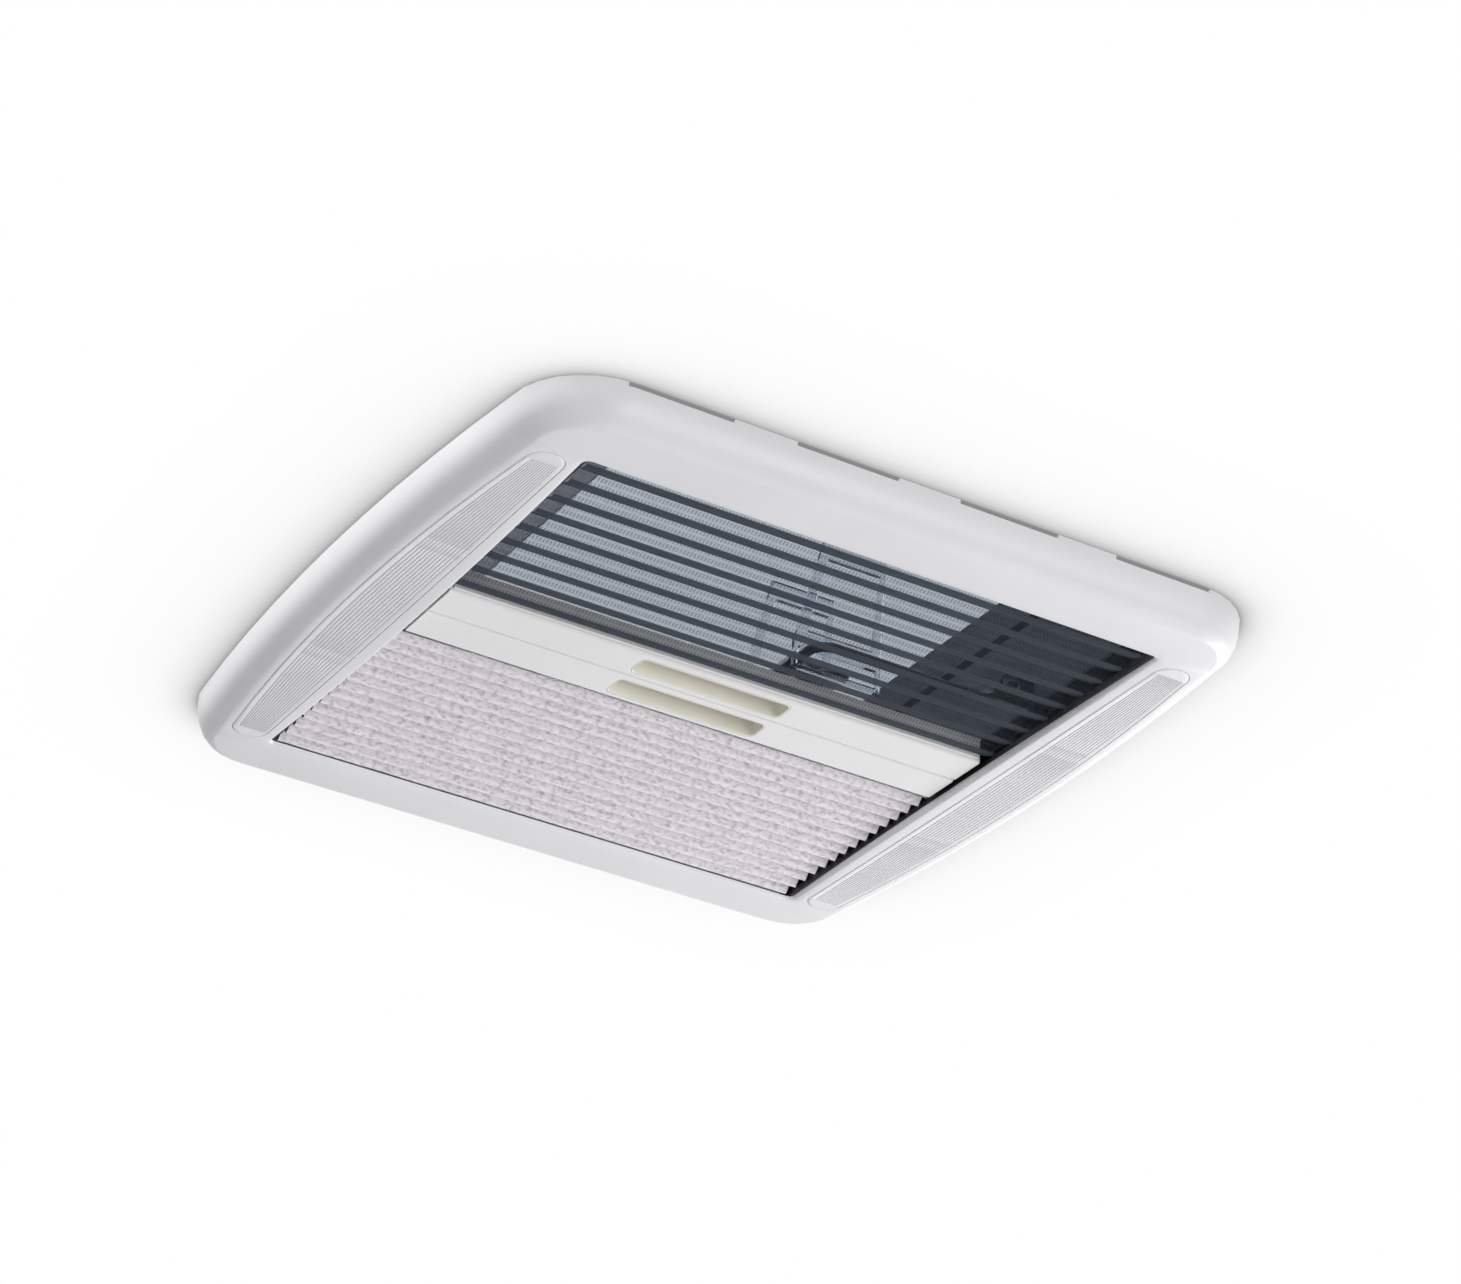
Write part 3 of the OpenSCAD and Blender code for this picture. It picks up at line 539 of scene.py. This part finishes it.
class ROOFLIGHT_OT_pull_bars(PieceOperator):
    """Pull bars, clamps and finger pulls of both blinds"""

    bl_idname = "rooflight.pull_bars"
    bl_label = "Pull bars"

    # Finger pulls and their windows are this much wider across the bar than the plain solids
    cup_widening = 1.35

    def execute(self, context):
        white = moulded_plastic("white PVC, extruded", self.colours.bar_white, 0.35, 1.2 * MM, 0.1)
        ivory = moulded_plastic("ivory ABS, gloss moulded", self.colours.pull_ivory, 0.3, 1.2 * MM, 0.1)
        for blind in ("screen", "blackout"):
            low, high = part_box(blind + "_pull")
            middle, reach = (low + high) / 2, (high - low) / 2 + Vector((1, 1, 1)) * MM

            def widen(place):
                if abs(place.x - middle.x) > reach.x or abs(place.y - middle.y) > reach.y:
                    return place
                return Vector((place.x, middle.y + (place.y - middle.y) * self.cup_widening, place.z))

            redraw(blind + "_bar", blind + "_bar_profile", white, self.sizes.edge_round, shape=widen)
            redraw(blind + "_clamp", blind + "_clamp_strip", white, self.sizes.edge_round / 2)
            redraw(blind + "_pull", blind + "_finger_cup", ivory, self.sizes.edge_round, shape=widen)
        return {"FINISHED"}


class ROOFLIGHT_OT_dome(PieceOperator):
    """Double dome, its guides, draught guard and bail grip"""

    bl_idname = "rooflight.dome"
    bl_label = "Dome"

    def execute(self, context):
        acrylic = clear_acrylic("cast acrylic, light tint", self.colours.acrylic, 0.03)
        smoke = clear_acrylic("cast acrylic, smoked", self.colours.smoke, 0.06)
        redraw("dome_outer", "dome_shell", acrylic, smooth_angle=50)
        redraw("dome_inner", "dome_pane", acrylic)
        redraw("bail_guides", "slotted_guides", acrylic, self.sizes.edge_round / 2)
        redraw("draught_guard", "draught_strip", smoke, self.sizes.edge_round / 2)
        redraw("bail_grip", "grip_plate", smoke, self.sizes.edge_round)
        return {"FINISHED"}


class ROOFLIGHT_OT_frames(PieceOperator):
    """Roof frame, dome frame, rails, seal and hardware"""

    bl_idname = "rooflight.frames"
    bl_label = "Frames and hardware"

    def execute(self, context):
        grey = moulded_plastic("grey ABS, satin moulded", self.colours.duct_grey, 0.45, 0.8 * MM, 0.3)
        black = moulded_plastic("black polyamide, matt moulded", linear("#1B1B1E"), 0.5, 0.8 * MM, 0.3)
        paint = moulded_plastic("black powder coat on steel", linear("#17171A"), 0.4, 0.6 * MM, 0.5)
        steel = drawn_metal("stainless steel, drawn", linear("#C9CACC"), 0.3, 0.4 * MM)
        zinc = drawn_metal("zinc-plated steel", linear("#BDC0C2"), 0.35, 0.5 * MM)
        rubber = soft_rubber("EPDM rubber, extruded", linear("#202022"))
        cord = soft_rubber("braided polyester cord", linear("#2A2A2E"))
        redraw("bail_rod", "bail", paint, smooth_angle=40)
        refinish(grey, "roof_flange", "duct", "screw_towers", "flange_webs", "dome_frame")
        refinish(
            black, "guide_rail_left", "guide_rail_right", "screen_header", "blackout_header", "cord_anchors",
            "hinge_brackets", "hinge_leaves", "bail_bearings", "screen_glides", "blackout_glides",
        )
        refinish(steel, "hinge_pins", "dome_screws", "bail_clips")
        refinish(zinc, "fixing_screws")
        refinish(rubber, "dome_seal")
        refinish(cord, "tension_cords")
        return {"FINISHED"}


# ---------- stage ----------

# Where the camera stands and how it is turned
CAMERA_PLACE = Vector((-0.9702, -1.8362, -1.1113))
CAMERA_RIGHT = Vector((0.86316, -0.50140, 0.05942))
CAMERA_DOWN = Vector((0.28540, 0.38742, -0.87660))
CAMERA_LENS = 99.66
SENSOR_WIDTH = 36
# Half size of the ceiling, and half size of the hole in it that clears the duct
CEILING_HALF = 6.0
HOLE_HALF = (0.1865, 0.197)
FLOOR_DROP = 1.9
# Daylight on the object, against the white that the camera and reflections see
DAYLIGHT = 0.33
# Name, place, aim, size and power of each softbox
LAMPS = (
    ("rim softbox", (-1.2, 0.0, 1.65), (-0.24, 0, 0), 0.6, 50),
    ("left softbox", (-1.6, -0.5, 0.9), (-0.24, 0, 0), 0.6, 9),
    ("near softbox", (0.5, -1.7, -0.5), (0, 0, 0), 0.8, 12),
    ("right softbox", (1.5, 0.5, -0.7), (0, 0, 0), 0.8, 21),
)


def area_lamp(name, place, aim, size, power):
    """A softbox at place that shines at aim."""
    lamp = bpy.data.lights.new(name, "AREA")
    lamp.shape = "SQUARE"
    lamp.size = size
    lamp.energy = power
    holder = bpy.data.objects.new(name, lamp)
    bpy.context.collection.objects.link(holder)
    holder.location = place
    holder.rotation_euler = (Vector(aim) - Vector(place)).to_track_quat("-Z", "Y").to_euler()


def one_sided(tree, output, shader):
    """Shows a surface only from its front."""
    back = add(tree, "ShaderNodeNewGeometry").outputs["Backfacing"]
    clear = add(tree, "ShaderNodeBsdfTransparent").outputs[0]
    shown = add(tree, "ShaderNodeMixShader", {0: back, 1: shader, 2: clear})
    tree.links.new(shown.outputs[0], output.inputs["Surface"])


class ROOFLIGHT_OT_stage(PieceOperator):
    """Ceiling, floor, lamps and camera"""

    bl_idname = "rooflight.stage"
    bl_label = "Stage"

    def execute(self, context):
        self.ceiling()
        self.floor()
        self.lights(context.scene)
        self.camera(context.scene)
        context.scene.view_settings.view_transform = "Standard"
        return {"FINISHED"}

    def ceiling(self):
        """Ceiling with its hole, white to the camera and darker where the frame shades it."""
        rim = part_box("inner_frame")[1].z
        form = bmesh.new()
        bmesh.ops.create_grid(form, x_segments=1, y_segments=1, size=CEILING_HALF)
        bmesh.ops.inset_individual(form, faces=form.faces[:], thickness=CEILING_HALF - 0.2)
        for vertex in form.verts:
            if abs(vertex.co.x) < CEILING_HALF / 2:
                corner = (math.copysign(half, side) for half, side in zip(HOLE_HALF, vertex.co.xy))
                vertex.co = Vector((*corner, 0))
        middle = min(form.faces, key=lambda face: face.calc_area())
        bmesh.ops.delete(form, geom=[middle], context="FACES_ONLY")
        bmesh.ops.reverse_faces(form, faces=form.faces)
        bmesh.ops.translate(form, verts=form.verts, vec=(0, 0, rim))
        material, tree, output = new_material("ceiling board, white")
        shade = add(tree, "ShaderNodeAmbientOcclusion", {"Distance": 0.12}, samples=16).outputs["AO"]
        tone = spread(tree, shade, 0.5, 0.97, 0.25, 1.0)
        grey = add(tree, "ShaderNodeCombineColor", {0: tone, 1: tone, 2: tone}).outputs[0]
        seen = add(tree, "ShaderNodeEmission", {"Color": grey}).outputs[0]
        path = add(tree, "ShaderNodeLightPath").outputs
        open_air = add(tree, "ShaderNodeBsdfTransparent").outputs[0]
        shown = add(
            tree, "ShaderNodeMath", {0: path["Is Camera Ray"], 1: path["Is Glossy Ray"]}, operation="ADD"
        ).outputs[0]
        board = add(tree, "ShaderNodeMixShader", {0: shown, 1: open_air, 2: seen}).outputs[0]
        one_sided(tree, output, board)
        self.put_stage("ceiling", form, material)

    def floor(self):
        """Pale floor under everything, seen only from above."""
        form = bmesh.new()
        bmesh.ops.create_grid(form, x_segments=1, y_segments=1, size=4 * CEILING_HALF)
        bmesh.ops.translate(form, verts=form.verts, vec=(0, 0, -FLOOR_DROP))
        material, tree, output = new_material("floor, pale")
        pale = add(tree, "ShaderNodeBsdfDiffuse", {"Color": rgba(linear("#F2F2F2"))}).outputs[0]
        one_sided(tree, output, pale)
        self.put_stage("floor", form, material)

    def put_stage(self, name, form, material):
        mesh = bpy.data.meshes.new(name)
        form.to_mesh(mesh)
        form.free()
        mesh.materials.append(material)
        piece = bpy.data.objects.new(name, mesh)
        bpy.context.collection.objects.link(piece)

    def lights(self, scene):
        """Soft daylight all round, and softboxes above and below the ceiling."""
        world = bpy.data.worlds.new("studio")
        world.use_nodes = True
        tree = world.node_tree
        tree.nodes.clear()
        path = add(tree, "ShaderNodeLightPath").outputs
        seen = path["Is Camera Ray"]
        for ray in ("Is Transmission Ray", "Is Glossy Ray"):
            seen = add(tree, "ShaderNodeMath", {0: seen, 1: path[ray]}, operation="MAXIMUM").outputs[0]
        strength = add(tree, "ShaderNodeMix", {0: seen, 2: DAYLIGHT, 3: 1.0}).outputs[0]
        light = add(tree, "ShaderNodeBackground", {"Color": (1, 1, 1, 1), "Strength": strength})
        output = tree.nodes.new("ShaderNodeOutputWorld")
        tree.links.new(light.outputs[0], output.inputs["Surface"])
        scene.world = world
        for lamp in LAMPS:
            area_lamp(*lamp)

    def camera(self, scene):
        lens = bpy.data.cameras.new("camera")
        lens.lens = CAMERA_LENS
        lens.sensor_width = SENSOR_WIDTH
        lens.clip_end = 50
        camera = bpy.data.objects.new("camera", lens)
        bpy.context.collection.objects.link(camera)
        forward = CAMERA_RIGHT.cross(CAMERA_DOWN)
        turn = Matrix((CAMERA_RIGHT, -CAMERA_DOWN, -forward)).transposed().to_4x4()
        camera.matrix_world = Matrix.Translation(CAMERA_PLACE) @ turn
        scene.camera = camera


class ROOFLIGHT_PT_panel(bpy.types.Panel):
    """Sidebar panel with every step of the build"""

    bl_label = "Rooflight"
    bl_space_type = "VIEW_3D"
    bl_region_type = "UI"
    bl_category = "Rooflight"

    def draw(self, context):
        for group in (context.scene.rooflight_sizes, context.scene.rooflight_colours):
            for name in group.__annotations__:
                self.layout.prop(group, name)
        for step in STEPS:
            self.layout.operator(step.bl_idname)


STEPS = (
    ROOFLIGHT_OT_stage,
    ROOFLIGHT_OT_inner_frame,
    ROOFLIGHT_OT_cover_strips,
    ROOFLIGHT_OT_insect_screen,
    ROOFLIGHT_OT_blackout_cloth,
    ROOFLIGHT_OT_pull_bars,
    ROOFLIGHT_OT_dome,
    ROOFLIGHT_OT_frames,
)
CLASSES = (RooflightSizes, RooflightColours, *STEPS, ROOFLIGHT_PT_panel)


def register():
    for entry in CLASSES:
        bpy.utils.register_class(entry)
    bpy.types.Scene.rooflight_sizes = PointerProperty(type=RooflightSizes)
    bpy.types.Scene.rooflight_colours = PointerProperty(type=RooflightColours)


def unregister():
    del bpy.types.Scene.rooflight_colours
    del bpy.types.Scene.rooflight_sizes
    for entry in reversed(CLASSES):
        bpy.utils.unregister_class(entry)


def main():
    register()
    for step in STEPS:
        group, name = step.bl_idname.split(".")
        getattr(getattr(bpy.ops, group), name)()


if __name__ == "__main__":
    main()
